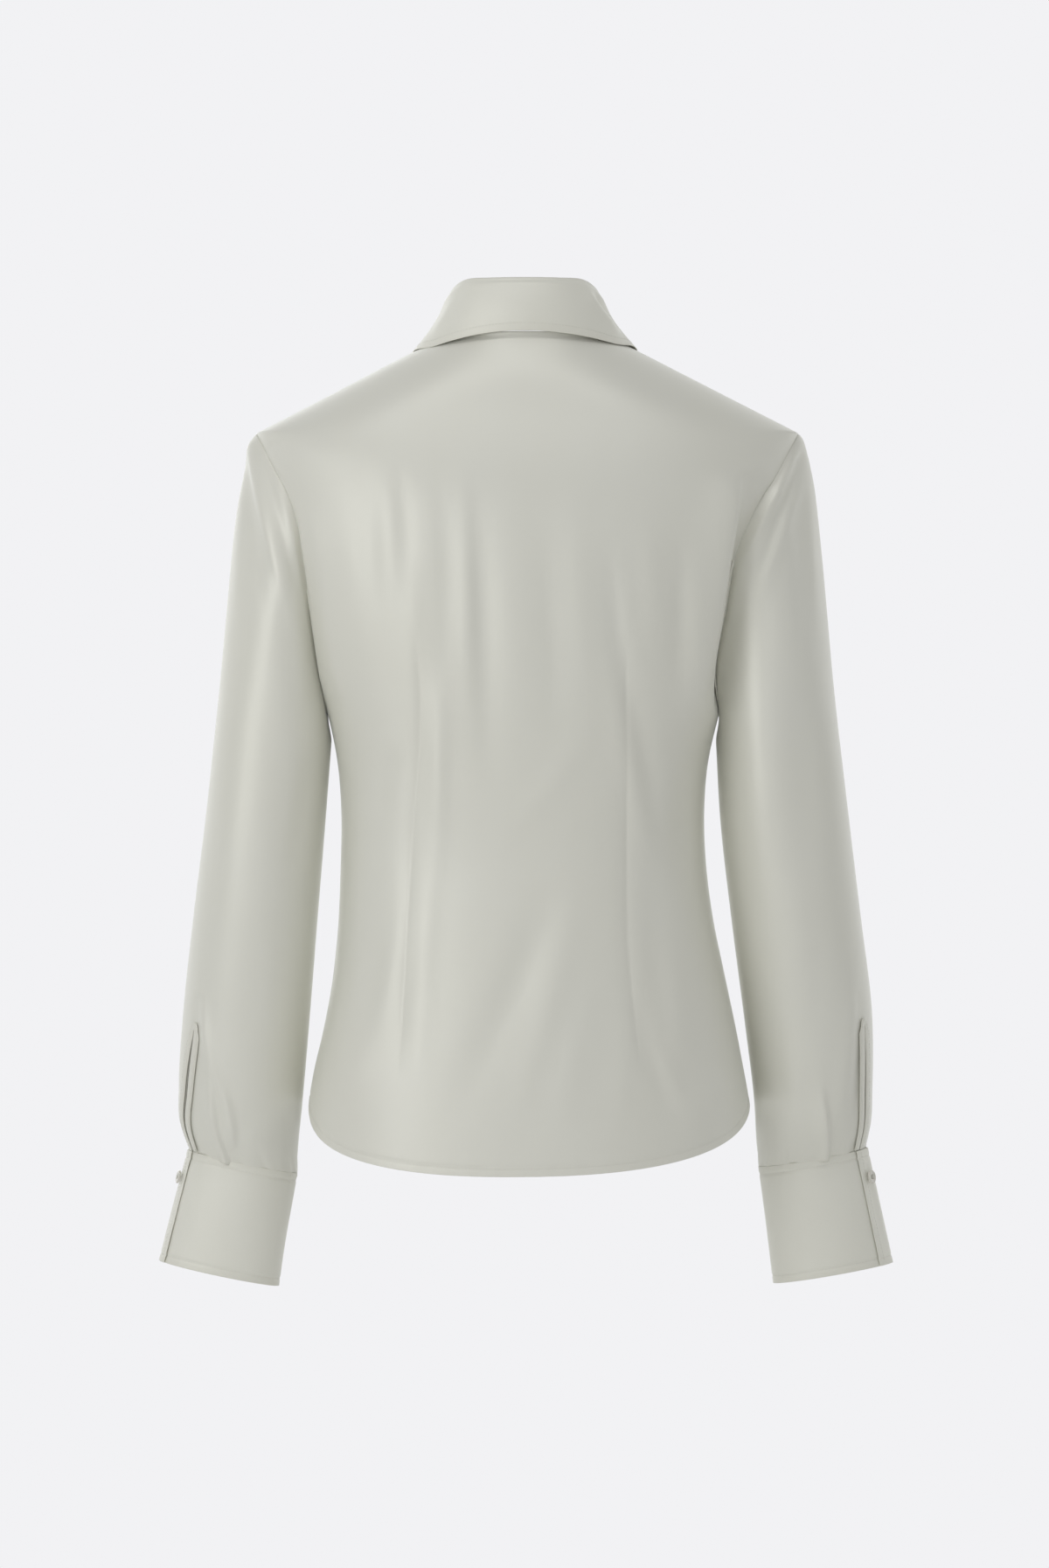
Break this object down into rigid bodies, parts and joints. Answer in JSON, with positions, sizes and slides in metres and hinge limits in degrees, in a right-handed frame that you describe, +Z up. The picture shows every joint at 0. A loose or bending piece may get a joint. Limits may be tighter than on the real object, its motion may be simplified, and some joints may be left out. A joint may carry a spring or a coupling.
{
  "type": "silk blouse",
  "caption": "Long-sleeved satin shirt blouse with a pointed collar, buttoned front and cuffs, back darts and a curved hem, filled out as worn and open inside.",
  "frame": {"origin": "middle of the neck opening, 3 mm above the neck seam at the shoulders, on the body's upright middle line", "axes": "+Z up towards the head, +Y to the wearer's front, +X to the wearer's right"},
  "size_m": [0.5459, 0.2448, 0.7427],
  "materials": {
    "satin": "ivory silk satin, soft sheen",
    "pearl": "polished shell buttons, off-white"
  },
  "bodies": {
    "root": {"back": "satin", "front_left": "satin", "front_right": "satin", "collar_stand": "satin", "collar_fall": "satin", "sleeve_left": "satin", "sleeve_right": "satin", "cuff_left": "satin", "cuff_right": "satin", "slit_binding_left": "satin", "slit_binding_right": "satin", "button_collar": "pearl", "button_front_1": "pearl", "button_front_2": "pearl", "button_front_3": "pearl", "button_front_4": "pearl", "button_front_5": "pearl", "button_front_6": "pearl", "button_cuff_left": "pearl", "button_cuff_right": "pearl"}
  },
  "joints": []
}
